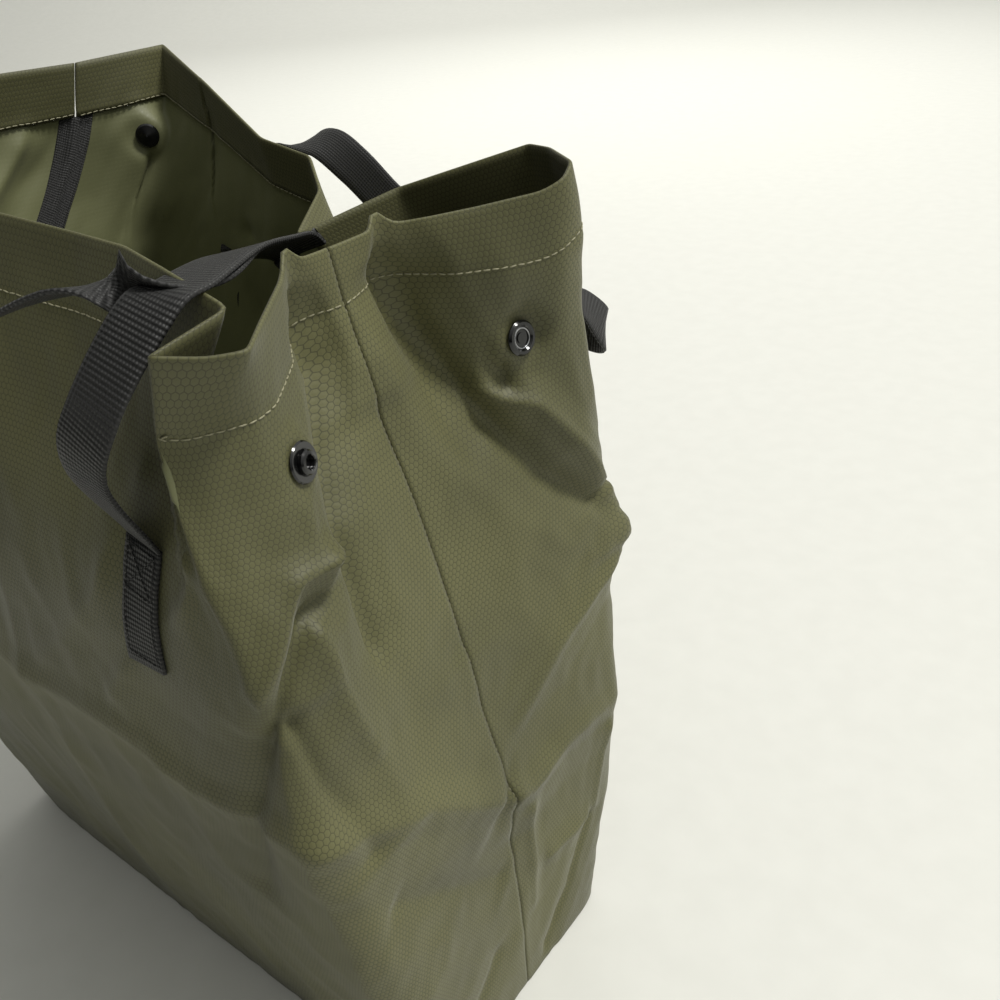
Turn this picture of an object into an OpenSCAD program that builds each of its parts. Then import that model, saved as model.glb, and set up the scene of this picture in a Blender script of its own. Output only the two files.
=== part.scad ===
// Open-topped rope storage bag in coated honeycomb nylon.
// Two cloth panels meet in the middle of each gusset and stand on a base panel.
// Each gusset carries one socket half and one stud half of a ring snap, and
// each wide face carries a webbing handle that turns where its legs are sewn on.
// +X is one gusset end, -Y the front face, +Z up; origin at the base's centre.

/* [Bag] */
// Length of the base along X
base_l = 400; // [360:5:440]
// Width of the base along Y
base_w = 172; // [150:2:200]
// Height of the rim half way along the bag
rim_h = 467; // [420:5:520]
// How much higher the rim is at the far (-X) end than half way along
rim_rise = 25; // [0:1:35]
// Width between the wide faces at the rim
rim_w = 224; // [200:2:240]
// How far each wide face swells outwards at mid height
swell = 22; // [5:1:28]
// How far each end wall leans in at the rim's corners
end_lean = 26; // [5:1:35]
// Extra inward dent of the right (+X) gusset at the rim
right_dent = 38; // [10:1:45]
// Extra inward dent of the left (-X) gusset at the rim
left_dent = 20; // [5:1:45]
// How far the left end of the rim leans towards the back
rim_skew = 50; // [0:1:55]
// Thickness of the cloth wall
cloth_t = 1.6; // [1:0.1:2.5]

/* [Seams] */
// Width of the tape that binds each gusset seam on the inside
tape_w = 22; // [14:1:30]
// Thickness of the seam tape
tape_t = 0.9; // [0.6:0.1:1.5]

/* [Snaps] */
// Outer diameter of the socket and stud rings
snap_d = 17; // [14:0.5:20]
// Diameter of the cap inside the bag
cap_d = 15; // [12:0.5:18]
// Height of the right gusset's snaps as a share of the rim height
right_snap_level = 0.86; // [0.8:0.01:0.9]
// Height of the left gusset's snaps as a share of the rim height
left_snap_level = 0.9; // [0.8:0.01:0.91]
// Distance of the right stud from the gusset seam, as a share of the half gusset
right_stud_out = 0.54; // [0.45:0.01:0.7]
// Distance of the right socket from the gusset seam, as a share of the half gusset
right_socket_out = 0.62; // [0.45:0.01:0.7]
// Distance of the left stud from the gusset seam, as a share of the half gusset
left_stud_out = 0.62; // [0.45:0.01:0.7]
// Distance of the left socket from the gusset seam, as a share of the half gusset
left_socket_out = 0.8; // [0.5:0.01:0.82]

/* [Handles] */
// Width of the webbing
strap_w = 25; // [20:1:30]
// Thickness of the webbing
strap_t = 1.8; // [1.2:0.1:2.4]
// Distance from the bag's middle to each sewn leg
leg_x = 120; // [100:5:135]
// Height of the top of the sewn legs
leg_top = 365; // [340:5:375]
// Length of the sewn part of each leg
leg_l = 55; // [40:5:80]

/* [Hidden] */

squareness = 5;        // exponent of the rounded-rectangle outline
leg_level = leg_top / rim_h;
lean_from = 0.35;      // level from which the left end leans towards the back
cols = 44;             // grid columns of one cloth panel
rows = 14;             // grid rows of one cloth panel
panel_foot = 2.2;      // the cloth panels start just above the base panel
gap = 0.25;            // clearance between pieces that only touch
leg_gap = gap + 0.35;  // clearance under the straight legs on the curved cloth
pivot_r = 2.2;         // a handle starts this far from its turning axis
seam_share = 0.0004;   // half the gap between the panels, as a share of half the base
cloth_c = "darkolivegreen";
web_c = "#1c1c1a";
metal_c = "#18191b";

// ---- outline of the bag: turn is the angle round the bag, level 0 base to 1 rim ----
function signed_pow(s, e) = sign(s) * pow(abs(s), e);
function half_l(level) = base_l / 2 - end_lean * level * level + 5 * sin(180 * level);
function half_w(level) =
    base_w / 2 + (rim_w - base_w) / 2 * level + swell * sin(180 * level);
function outline(turn, level) =
    let (x = half_l(level) * signed_pow(cos(turn), 2 / squareness),
         y = half_w(level) * signed_pow(sin(turn), 2 / squareness),
         along = x / half_l(level),
         end_share = pow(abs(along), 8),
         mid_share = pow(cos(90 * y / half_w(level)), 2),
         dent = (x > 0 ? right_dent : -left_dent) * end_share * mid_share * level * level,
         lean = rim_skew * pow(max(0, level - lean_from) / (1 - lean_from), 2) * (1 - along) / 2)
    [x - dent, y + lean, panel_foot + level * (rim_h - rim_rise * along - panel_foot)];
function unit(v) = v / norm(v);
// Turn that lies a given share of the way round half the base, from seam to seam
function turn_of(share) =
    let (run = share * (base_l + base_w),
         x = (base_w / 2 + base_l / 2 - run) / (base_l / 2),
         y = min(run, base_l + base_w - run) / (base_w / 2),
         cx = min(1, max(-1, x)),
         cy = min(1, y))
    atan2(signed_pow(cy, squareness / 2), signed_pow(cx, squareness / 2));
function outward(turn, level) =
    let (a = outline(turn + 0.5, level) - outline(turn - 0.5, level),
         b = outline(turn, min(1, level + 0.01)) - outline(turn, max(0, level - 0.01)))
    unit(cross(a, b));
function on_cloth(turn, level, lift) = outline(turn, level) + lift * outward(turn, level);

// ---- a closed sheet between an inner and an outer grid of points ----
function flat(lists) = [for (l = lists) each l];
module sheet(outer, inner, nc, nr) {
    count = nc * nr;
    grid = flat([for (r = [0:nr - 2]) for (c = [0:nc - 2])
        [[r * nc + c, (r + 1) * nc + c, (r + 1) * nc + c + 1],
         [r * nc + c, (r + 1) * nc + c + 1, r * nc + c + 1]]]);
    back = [for (f = grid) [f[2] + count, f[1] + count, f[0] + count]];
    edge = concat([for (c = [0:nc - 1]) c],
                  [for (r = [1:nr - 1]) r * nc + nc - 1],
                  [for (c = [nc - 2:-1:0]) (nr - 1) * nc + c],
                  [for (r = [nr - 2:-1:1]) r * nc]);
    n = len(edge);
    rim = flat([for (i = [0:n - 1]) let (p = edge[i], q = edge[(i + 1) % n])
        [[p, q, q + count], [p, q + count, p + count]]]);
    polyhedron(points = concat(outer, inner), faces = concat(grid, back, rim));
}
module side_panel(start) {
    shares = [for (c = [0:cols - 1]) seam_share + (1 - 2 * seam_share) * c / (cols - 1)];
    turns = [for (s = shares) start + turn_of(s)];
    levels = [for (r = [0:rows - 1]) r / (rows - 1)];
    outer = [for (l = levels) for (t = turns) on_cloth(t, l, 0)];
    inner = [for (l = levels) for (t = turns) on_cloth(t, l, -cloth_t)];
    color(cloth_c) sheet(outer, inner, cols, rows);
}

// ---- base and side panels ----
module base_panel()
    color(cloth_c)
        linear_extrude(panel_foot - gap)
            polygon([for (i = [0:71]) let (p = outline(i * 5, 0)) [p[0], p[1]]]);
module front_panel() side_panel(180);
module back_panel() side_panel(0);

// ---- bound seams in the middle of each gusset, inside the bag ----
function tape_turn(level) = asin(pow(tape_w / 2 / half_w(level), squareness / 2));
module seam_tape(middle) {
    lift = -cloth_t - gap;
    levels = [for (r = [0:rows - 1]) 0.01 + 0.98 * r / (rows - 1)];
    sides = [-1, -0.4, 0.4, 1];
    outer = [for (l = levels) for (s = sides) on_cloth(middle + s * tape_turn(l), l, lift)];
    inner = [for (l = levels) for (s = sides)
        on_cloth(middle + s * tape_turn(l), l, lift - tape_t)];
    color(web_c) sheet(outer, inner, len(sides), rows);
}
module right_seam_tape() seam_tape(0);
module left_seam_tape() seam_tape(180);

// ---- ring snaps: +Z of each piece points out of the bag ----
function snap_turn(out) = asin(pow(out, squareness / 2));
seat = 0.5;            // the ring stands this far off the curved cloth
post_d = 4;            // shank of the cap, pressed through the cloth
module on_right(turn) on_gusset(turn, right_snap_level) children();
module on_left(turn) on_gusset(180 + turn, left_snap_level) children();
module on_gusset(turn, level) {
    p = on_cloth(turn, level, seat);
    n = outward(turn, level);
    translate(p) rotate([0, acos(n[2]), atan2(n[1], n[0])]) children();
}
module socket() color(metal_c) rotate_extrude($fn = 48)
    polygon([[post_d / 2 + 0.1, 0], [snap_d / 2 - 0.8, 0], [snap_d / 2, 0.8],
             [snap_d / 2, 1.6], [snap_d / 2 - 1, 2.6], [snap_d / 2 - 2.4, 2.6],
             [snap_d / 2 - 3.2, 1.8], [snap_d / 2 - 3.2, 1], [post_d / 2 + 0.1, 1]]);
module socket_spring() color("silver") translate([0, 0, 1.45])
    rotate_extrude($fn = 48) translate([snap_d / 2 - 3.75, 0]) circle(d = 0.7, $fn = 16);
module stud() color(metal_c) rotate_extrude($fn = 48)
    polygon([[post_d / 2 + 0.1, 0], [snap_d / 2 - 0.8, 0], [snap_d / 2, 0.7],
             [snap_d / 2 - 0.6, 1.4], [snap_d / 2 - 3, 1.4], [4.6, 1],
             [4.6, 2.2], [5, 3], [4.4, 3.8], [3.2, 4], [2.9, 3.6], [2.9, 1],
             [post_d / 2 + 0.1, 1]]);
module cap() color(metal_c) {
    inner_face = -seat - cloth_t - 0.5;
    rotate_extrude($fn = 48)
        polygon([[0, inner_face], [cap_d / 2, inner_face], [cap_d / 2, inner_face - 0.6],
                 [cap_d / 2 - 1, inner_face - 1.3], [0, inner_face - 2.2]]);
    translate([0, 0, inner_face]) cylinder(d = post_d, h = 1.1 - inner_face, $fn = 32);
    translate([0, 0, 1.1]) cylinder(d = post_d + 1.2, h = 0.5, $fn = 32);
}
module right_socket() on_right(snap_turn(right_socket_out)) socket();
module right_socket_spring() on_right(snap_turn(right_socket_out)) socket_spring();
module right_socket_cap() on_right(snap_turn(right_socket_out)) cap();
module right_stud() on_right(-snap_turn(right_stud_out)) stud();
module right_stud_cap() on_right(-snap_turn(right_stud_out)) cap();
module left_socket() on_left(-snap_turn(left_socket_out)) socket();
module left_socket_spring() on_left(-snap_turn(left_socket_out)) socket_spring();
module left_socket_cap() on_left(-snap_turn(left_socket_out)) cap();
module left_stud() on_left(snap_turn(left_stud_out)) stud();
module left_stud_cap() on_left(snap_turn(left_stud_out)) cap();

// ---- sewn legs of the handles, lying on the wide faces ----
// Angle round the bag at which the outline passes a given x at a given level
function turn_at(x, level, side) = side * acos(signed_pow(x / half_l(level), squareness / 2));
function level_at(x, z) = (z - panel_foot) / (rim_h - rim_rise * x / half_l(0.8) - panel_foot);
module leg(x, side) {
    heights = [for (r = [0:4]) leg_top - leg_l * (1 - r / 4)];
    edges = side * [strap_w / 2, -strap_w / 2];
    outer = [for (z = heights) for (e = edges) let (l = level_at(x, z))
        on_cloth(turn_at(x + e, l, side), l, leg_gap + strap_t)];
    inner = [for (z = heights) for (e = edges) let (l = level_at(x, z))
        on_cloth(turn_at(x + e, l, side), l, leg_gap)];
    color(web_c) sheet(outer, inner, 2, 5);
}
module front_right_leg() leg(leg_x, -1);
module front_left_leg() leg(-leg_x, -1);
module back_right_leg() leg(leg_x, 1);
module back_left_leg() leg(-leg_x, 1);

// ---- free loops of the handles ----
// Each route point is the strap's middle [x, y, z] and the way its width points.
// Points are given beside an upright face and then moved back with the lean.
pivot_y = half_w(leg_level) + gap + strap_t * 2 + 1.5;
function leg_lean(x) =
    rim_skew * pow((leg_level - lean_from) / (1 - lean_from), 2) * (1 - x / half_l(leg_level)) / 2;
function leaning(route) = [for (p = route) [p[0] + [0, leg_lean(p[0][0]), 0], p[1]]];
front_route = [
    [[leg_x, -pivot_y, leg_top + pivot_r], [1, 0, 0]],
    [[132, -pivot_y - 6, 398], [1, 0.1, 0]],
    [[150, -pivot_y - 4, 434], [0.95, 0.3, 0]],
    [[152, -108, 464], [0.86, 0.5, 0]],
    [[122, -62, 468], [0.8, 0.5, -0.3]],
    [[88, -10, 458], [0.5, 0.4, -0.7]],
    [[58, 14, 456], [0, 0.1, -1]],
    [[16, -4, 462], [-0.4, 0.3, -0.8]],
    [[-48, -50, 482], [-0.7, 0.5, -0.4]],
    [[-104, -90, 506], [-0.8, 0.6, 0]],
    [[-138, -122, 494], [-0.95, 0.3, 0]],
    [[-134, -pivot_y - 10, 434], [-1, 0.1, 0]],
    [[-leg_x, -pivot_y, leg_top + pivot_r], [-1, 0, 0]]];
back_route = [
    [[leg_x, pivot_y, leg_top + pivot_r], [-1, 0, 0]],
    [[124, pivot_y + 6, 382], [-1, 0.1, 0]],
    [[146, pivot_y + 24, 404], [-0.75, 0.6, 0.2]],
    [[140, pivot_y + 36, 418], [-0.1, 1, 0.2]],
    [[88, pivot_y + 36, 416], [0, 1, 0.2]],
    [[33, pivot_y + 35, 417], [0, 1, 0.3]],
    [[-24, pivot_y + 33, 434], [0, 1, 0.3]],
    [[-76, pivot_y + 32, 446], [0.1, 1, 0.2]],
    [[-122, pivot_y + 29, 432], [0.7, 0.8, 0]],
    [[-136, pivot_y + 18, 400], [1, 0.3, 0]],
    [[-leg_x, pivot_y, leg_top + pivot_r], [1, 0, 0]]];
route_steps = 5;
function bend(a, b, c, d, s) = 0.5 * (2 * b + (c - a) * s + (2 * a - 5 * b + 4 * c - d) * s * s
    + (3 * b - a - 3 * c + d) * s * s * s);
function smooth_route(r) = concat(
    [for (i = [0:len(r) - 2]) for (k = [0:route_steps - 1])
        bend(r[max(0, i - 1)], r[i], r[i + 1], r[min(len(r) - 1, i + 2)], k / route_steps)],
    [r[len(r) - 1]]);
module strap(route) {
    path = smooth_route(route);
    n = len(path);
    rings = [for (i = [0:n - 1])
        let (middle = path[i][0],
             ahead = unit(path[min(n - 1, i + 1)][0] - path[max(0, i - 1)][0]),
             across = unit(path[i][1] - (path[i][1] * ahead) * ahead),
             w = across * strap_w / 2,
             t = cross(ahead, across) * strap_t / 2)
        [middle - w - t, middle + w - t, middle + w + t, middle - w + t]];
    sides = flat([for (i = [0:n - 2]) for (k = [0:3])
        let (p = i * 4 + k, q = i * 4 + (k + 1) % 4)
        [[p, p + 4, q + 4], [p, q + 4, q]]]);
    last = (n - 1) * 4;
    ends = [[0, 1, 2], [0, 2, 3],
            [last + 2, last + 1, last], [last + 3, last + 2, last]];
    color(web_c) polyhedron(points = flat(rings), faces = concat(sides, ends));
}
module front_handle() strap(leaning(front_route));
module back_handle() strap(leaning(back_route));

base_panel();
front_panel();
back_panel();
right_seam_tape();
left_seam_tape();
right_socket();
right_socket_spring();
right_socket_cap();
right_stud();
right_stud_cap();
left_socket();
left_socket_spring();
left_socket_cap();
left_stud();
left_stud_cap();
front_right_leg();
front_left_leg();
back_right_leg();
back_left_leg();
front_handle();
back_handle();
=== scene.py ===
# %% [markdown]
# # An open rope bag in coated honeycomb cloth
# The bag is two cloth panels that meet in the middle of each gusset, a base
# panel, a turned-in hem, four ring snaps and two webbing handles.
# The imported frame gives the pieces, their joints and the snaps' places. The
# slump of the cloth, its folds and the lie of the straps are set here, in mm.

# %% Load the frame
import math

import bmesh
import bpy
import numpy as np
from mathutils import Matrix, Vector, noise


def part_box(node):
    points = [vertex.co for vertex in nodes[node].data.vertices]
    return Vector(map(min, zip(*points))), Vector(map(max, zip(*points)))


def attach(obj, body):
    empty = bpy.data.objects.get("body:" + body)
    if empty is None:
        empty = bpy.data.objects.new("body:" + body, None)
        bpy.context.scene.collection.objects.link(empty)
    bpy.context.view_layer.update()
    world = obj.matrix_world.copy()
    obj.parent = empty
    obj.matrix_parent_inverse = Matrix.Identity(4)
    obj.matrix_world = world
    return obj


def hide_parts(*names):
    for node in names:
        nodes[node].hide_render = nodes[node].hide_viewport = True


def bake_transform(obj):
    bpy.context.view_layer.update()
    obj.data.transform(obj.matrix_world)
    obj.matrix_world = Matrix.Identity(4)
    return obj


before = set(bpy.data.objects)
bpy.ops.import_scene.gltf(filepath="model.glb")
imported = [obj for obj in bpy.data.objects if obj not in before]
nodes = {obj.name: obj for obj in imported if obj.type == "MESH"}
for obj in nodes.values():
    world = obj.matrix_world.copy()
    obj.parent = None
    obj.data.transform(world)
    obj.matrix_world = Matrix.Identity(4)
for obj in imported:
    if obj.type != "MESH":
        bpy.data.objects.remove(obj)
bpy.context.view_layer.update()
scene = bpy.context.scene
MM = 0.001

# %% [markdown]
# ## Camera
# The view looks down into the near end of the bag from close by, so the
# verticals converge strongly. The three rows are the camera's right, up and
# back directions, written out so that the slight roll of a hand-held camera stays.

# %% Camera
CAMERA_PLACE = Vector((0.441, -0.273, 0.558))
camera_right = Vector((0.794, 0.603, -0.078))
camera_up = Vector((-0.260, 0.453, 0.853))
camera_right.normalize()
camera_up = (camera_up - camera_right * camera_up.dot(camera_right)).normalized()
camera_back = camera_right.cross(camera_up)
camera_data = bpy.data.cameras.new("view")
camera_data.lens = 36.0
camera_data.sensor_width = 36.0
camera_data.clip_start = 0.01
camera = bpy.data.objects.new("view", camera_data)
scene.collection.objects.link(camera)
turn = Matrix((camera_right, camera_up, camera_back)).transposed().to_4x4()
camera.matrix_world = Matrix.Translation(CAMERA_PLACE) @ turn
scene.camera = camera
print("camera at", tuple(round(v, 3) for v in CAMERA_PLACE))

# %% [markdown]
# ## Floor and light
# A pale floor curves up into a wall far behind the bag. One broad light high on
# the right and a room that is brighter on that side give the gusset its soft
# gradient and leave the front face in shade. A second one is aimed at the wall.

# %% Floor and light
def plain_mesh(name, points, faces):
    mesh = bpy.data.meshes.new(name)
    mesh.from_pydata([tuple(p) for p in points], [], [tuple(f) for f in faces])
    mesh.update()
    thing = bpy.data.objects.new(name, mesh)
    scene.collection.objects.link(thing)
    return thing


def backdrop(name, flat, radius, rise, half_width):
    """A floor that curves up into a wall, far behind the bag as the camera sees it."""
    away = Vector((-camera_back.x, -camera_back.y)).normalized()
    aside = Vector((away.y, -away.x))
    profile = [(-6.0, 0.0), (flat, 0.0)]
    profile += [(flat + radius * math.sin(a), radius * (1 - math.cos(a)))
                for a in (math.radians(k) for k in range(6, 91, 6))]
    profile.append((flat + radius, rise))
    points = [(*(away * d + aside * w), z) for d, z in profile for w in (half_width, -half_width)]
    faces = [(2 * k, 2 * k + 1, 2 * k + 3, 2 * k + 2) for k in range(len(profile) - 1)]
    made = plain_mesh(name, points, faces)
    made.data.polygons.foreach_set("use_smooth", [True] * len(faces))
    return made


floor = backdrop("floor", 5.0, 2.0, 4.0, 9.0)


def area_light(name, place, aim, size, watts, colour):
    data = bpy.data.lights.new(name, "AREA")
    data.shape = "RECTANGLE"
    data.size, data.size_y = size
    data.energy = watts
    data.color = colour
    lamp = bpy.data.objects.new(name, data)
    scene.collection.objects.link(lamp)
    back = (Vector(place) - Vector(aim)).normalized()
    lamp.matrix_world = Matrix.Translation(place) @ back.to_track_quat("Z", "Y").to_matrix().to_4x4()
    return lamp


area_light("key", (1.6, 0.95, 3.6), (0.1, 0.0, 0.3), (0.8, 0.7), 118.0, (1.0, 0.985, 0.95))
area_light("wall", (-1.0, 2.4, 3.2), (-3.4, 4.6, 0.4), (1.6, 1.2), 120.0, (1.0, 0.99, 0.96))
world = bpy.data.worlds.new("room")
scene.world = world
world.use_nodes = True
room = world.node_tree
aim = room.nodes.new("ShaderNodeVectorMath")
aim.operation = "DOT_PRODUCT"
aim.inputs[1].default_value = (0.42, 0.42, 0.80)
spread = room.nodes.new("ShaderNodeMapRange")
spread.inputs[1].default_value, spread.inputs[2].default_value = 0.0, 1.0
spread.inputs[3].default_value, spread.inputs[4].default_value = 0.02, 0.85
room.links.new(room.nodes.new("ShaderNodeTexCoord").outputs["Generated"], aim.inputs[0])
room.links.new(aim.outputs["Value"], spread.inputs[0])
room.links.new(spread.outputs[0], room.nodes["Background"].inputs[1])
room.nodes["Background"].inputs[0].default_value = (0.93, 0.94, 0.90, 1)
scene.view_settings.view_transform = "Standard"

# %% [markdown]
# ## Shader maths
# A material here is mostly arithmetic on coordinates. The class below wraps a
# socket, so that an expression such as `1 - mask * 0.4` adds its Math nodes.

# %% Shader maths
class Value:
    def __init__(self, maker, socket):
        self.maker = maker
        self.socket = socket

    def maths(self, operation, other=None, swap=False):
        pair = [self, other] if other is not None else [self]
        if swap:
            pair.reverse()
        return self.maker.node("ShaderNodeMath", {"operation": operation},
                               dict(enumerate(pair)))

    def __add__(self, other):
        return self.maths("ADD", other)

    def __radd__(self, other):
        return self.maths("ADD", other)

    def __sub__(self, other):
        return self.maths("SUBTRACT", other)

    def __rsub__(self, other):
        return self.maths("SUBTRACT", other, True)

    def __mul__(self, other):
        return self.maths("MULTIPLY", other)

    def __rmul__(self, other):
        return self.maths("MULTIPLY", other)

    def __truediv__(self, other):
        return self.maths("DIVIDE", other)

    def smallest(self, other):
        return self.maths("MINIMUM", other)

    def largest(self, other):
        return self.maths("MAXIMUM", other)

    def size(self):
        return self.maths("ABSOLUTE")

    def whole(self):
        return self.maths("ROUND")

    def wave(self):
        return self.maths("SINE")

    def step(self, low, high, low_value=0.0, high_value=1.0):
        return self.maker.node(
            "ShaderNodeMapRange", {"interpolation_type": "SMOOTHSTEP"},
            {0: self, 1: low, 2: high, 3: low_value, 4: high_value})


class Finish:
    """One material's node tree, with a shader to feed."""

    def __init__(self, name):
        self.material = bpy.data.materials.new(name)
        self.material.use_nodes = True
        self.tree = self.material.node_tree
        self.shader = self.tree.nodes["Principled BSDF"]

    def node(self, kind, settings=None, values=None, output=0):
        made = self.tree.nodes.new(kind)
        for key, value in (settings or {}).items():
            setattr(made, key, value)
        for key, value in (values or {}).items():
            if isinstance(value, Value):
                self.tree.links.new(value.socket, made.inputs[key])
            else:
                made.inputs[key].default_value = value
        return Value(self, made.outputs[output])

    def mix(self, factor, first, second):
        return self.node("ShaderNodeMix", {"data_type": "RGBA"},
                         {0: factor, 6: first, 7: second}, 2)

    def noise(self, where, scale, detail=2.0, roughness=0.5):
        return self.node("ShaderNodeTexNoise", None,
                         {"Vector": where, "Scale": scale, "Detail": detail,
                          "Roughness": roughness})

    def feed(self, **inputs):
        for key, value in inputs.items():
            socket = self.shader.inputs[key.replace("_", " ")]
            if isinstance(value, Value):
                self.tree.links.new(value.socket, socket)
            else:
                socket.default_value = value
        return self

    def bumped(self, *layers):
        """Each layer is (height, distance); the finest comes last."""
        normal = None
        for height, distance in layers:
            values = {"Height": height, "Distance": distance, "Strength": 1.0}
            if normal is not None:
                values["Normal"] = normal
            normal = self.node("ShaderNodeBump", None, values)
        return self.feed(Normal=normal)


def position(finish):
    return finish.node("ShaderNodeTexCoord", None, None, 3)


def fabric_place(finish):
    """The piece's own fabric coordinates, in metres, as two values."""
    uv = finish.node("ShaderNodeUVMap", {"uv_map": "fabric"})
    split = uv.maker.tree.nodes.new("ShaderNodeSeparateXYZ")
    finish.tree.links.new(uv.socket, split.inputs[0])
    return uv, Value(finish, split.outputs[0]), Value(finish, split.outputs[1])

# %% [markdown]
# ## Coated honeycomb cloth
# The outer face is a nylon weave whose thicker threads draw a honeycomb of
# small raised cells with dark outlines. A hexagonal cell is what three sets of
# parallel bands leave between them, so the pattern is built from the distance
# to the nearest cell centre of a triangular grid. The inner face has the same
# cells under a smooth, paler coating.

# %% Cloth
CELL_ACROSS = 0.00245
CELL_UP = 0.0052
THREAD_ACROSS = 0.00049
THREAD_UP = 0.00052


def honeycomb(u, v):
    """0 in a cell's middle, about 0.5 on its outline."""

    def cell_distance(shift):
        a = u / CELL_ACROSS + shift
        b = v / CELL_UP + shift
        da = (a - a.whole()).size()
        db = (b - b.whole()).size()
        return da.largest(da * 0.5 + db * 1.5)

    return cell_distance(0.0).smallest(cell_distance(0.5))


def cloth_finish(name, inside):
    finish = Finish(name)
    uv, u, v = fabric_place(finish)
    where = position(finish)
    edge = honeycomb(u, v)
    line = edge.step(0.40, 0.485)
    dome = edge.step(0.0, 0.45, 1.0, 0.0)
    threads = (u * (math.tau / THREAD_ACROSS)).wave() * (v * (math.tau / THREAD_UP)).wave()
    broad = finish.noise(where, 9.0, 3.0)
    fine = finish.noise(uv, 900.0, 2.0, 0.6)
    pale = (0.126, 0.124, 0.048, 1) if not inside else (0.185, 0.192, 0.090, 1)
    deep = (0.080, 0.079, 0.029, 1) if not inside else (0.140, 0.146, 0.066, 1)
    ground = finish.mix(broad.step(0.3, 0.7), deep, pale)
    if inside:
        coloured = finish.mix(line * 0.12, ground, (0.10, 0.10, 0.05, 1))
        finish.feed(Base_Color=coloured, Roughness=fine.step(0.3, 0.7, 0.50, 0.62),
                    Sheen_Weight=0.08, Sheen_Roughness=0.5)
        finish.bumped((dome, 0.00003), (fine, 0.00002))
    else:
        coloured = finish.mix(line * 0.72, ground, (0.024, 0.023, 0.012, 1))
        coloured = finish.mix(threads * 0.10 + 0.05, coloured, (0.27, 0.26, 0.16, 1))
        finish.feed(Base_Color=coloured,
                    Roughness=line * 0.12 + broad.step(0.3, 0.7, 0.48, 0.60),
                    Sheen_Weight=0.12, Sheen_Roughness=0.4)
        finish.shader.inputs["Specular IOR Level"].default_value = 0.42
        finish.bumped((dome, 0.00006), (threads, 0.00002))
    return finish.material


cloth_outside = cloth_finish("cloth_outside", False)
cloth_inside = cloth_finish("cloth_inside", True)

# %% [markdown]
# ## Webbing, thread, tape and metal
# Webbing is a tight black weave with ribs across it and two rolled selvages.

# %% Webbing, thread, tape and metal
WARP_PITCH = 0.0016


def webbing_finish(name, rib, tone):
    finish = Finish(name)
    uv, u, v = fabric_place(finish)
    ribs = (v * (math.tau / rib)).wave()
    warps = (u * (math.tau / WARP_PITCH)).wave()
    fuzz = finish.noise(uv, 1500.0, 2.0, 0.6)
    weave = ribs * 0.5 + warps * 0.25 + fuzz * 0.5
    colour = finish.mix(weave.step(-0.6, 0.9), (tone * 0.35, tone * 0.35, tone * 0.34, 1),
                        (tone, tone, tone * 0.96, 1))
    finish.feed(Base_Color=colour, Roughness=fuzz.step(0.3, 0.7, 0.5, 0.75),
                Sheen_Weight=0.08, Sheen_Roughness=0.4)
    finish.bumped((ribs * 0.7 + warps * 0.35, 0.00025), (fuzz, 0.0001))
    return finish.material


webbing = webbing_finish("webbing", 0.0021, 0.016)
tape_cloth = webbing_finish("binding_tape", 0.0009, 0.020)


def thread_finish():
    finish = Finish("thread")
    where = position(finish)
    fuzz = finish.noise(where, 2500.0, 1.0)
    colour = finish.mix(fuzz.step(0.3, 0.7), (0.20, 0.19, 0.115, 1), (0.34, 0.325, 0.21, 1))
    finish.feed(Base_Color=colour, Roughness=0.55)
    finish.bumped((fuzz, 0.0001))
    return finish.material


thread = thread_finish()


def metal_finish(name, tone, metallic, rough):
    finish = Finish(name)
    where = position(finish)
    smudge = finish.noise(where, 160.0, 3.0)
    scratch = finish.noise(where, 1400.0, 2.0, 0.7)
    colour = finish.mix(smudge.step(0.3, 0.75), (tone * 0.7, tone * 0.72, tone * 0.75, 1),
                        (tone, tone, tone, 1))
    finish.feed(Base_Color=colour, Metallic=metallic,
                Roughness=smudge.step(0.3, 0.7, rough, rough + 0.1),
                Coat_Weight=0.6, Coat_Roughness=0.08)
    finish.bumped((scratch, 0.00001))
    return finish.material


snap_metal = metal_finish("snap_metal", 0.009, 0.4, 0.14)
spring_steel = metal_finish("spring_steel", 0.5, 1.0, 0.25)


def floor_finish():
    finish = Finish("pale_floor")
    where = position(finish)
    speck = finish.noise(where, 40.0, 3.0)
    colour = finish.mix(speck.step(0.2, 0.8), (0.70, 0.70, 0.655, 1), (0.725, 0.725, 0.68, 1))
    finish.feed(Base_Color=colour, Roughness=0.5)
    return finish.material


floor.data.materials.append(floor_finish())


def dress(thing, material):
    thing.data.materials.clear()
    thing.data.materials.append(material)


for name, thing in nodes.items():
    if "spring" in name:
        dress(thing, spring_steel)
    elif "socket" in name or "stud" in name:
        dress(thing, snap_metal)
print("materials:", len(bpy.data.materials))

# %% [markdown]
# ## The cloth as a map from the flat fabric
# A sewn bag is flat fabric bent in space, so every point has two names: `u`,
# the distance round the bag from the right gusset's seam (front is negative),
# and `w`, the height along the cloth. The shape is a function of (u, w), in
# millimetres: a swelling upright tube first, then the slumped rim, then folds.
# Stiff coated cloth creases along lines with flat flanks, so a fold is a tent
# along a line and not a sine wave.

# %% The upright tube
GUSSET = 118.0
FACE = 400.0
HALF_ROUND = 2 * GUSSET + FACE
CLOTH_H = 470.0
BASE_HALF = ((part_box("base_panel")[1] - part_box("base_panel")[0]) / 2) / MM
RIM_H, RIM_RISE, RIM_HALF, SWELL = 467.0, 25.0, 112.0, 22.0
END_LEAN, RIGHT_DENT, LEFT_DENT, SKEW, SKEW_FROM = 26.0, 38.0, 20.0, 50.0, 0.35
SQUARENESS = 12.0
FOOT = 1.0


def smooth(t):
    t = np.clip(t, 0.0, 1.0)
    return t * t * (3 - 2 * t)


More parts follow.
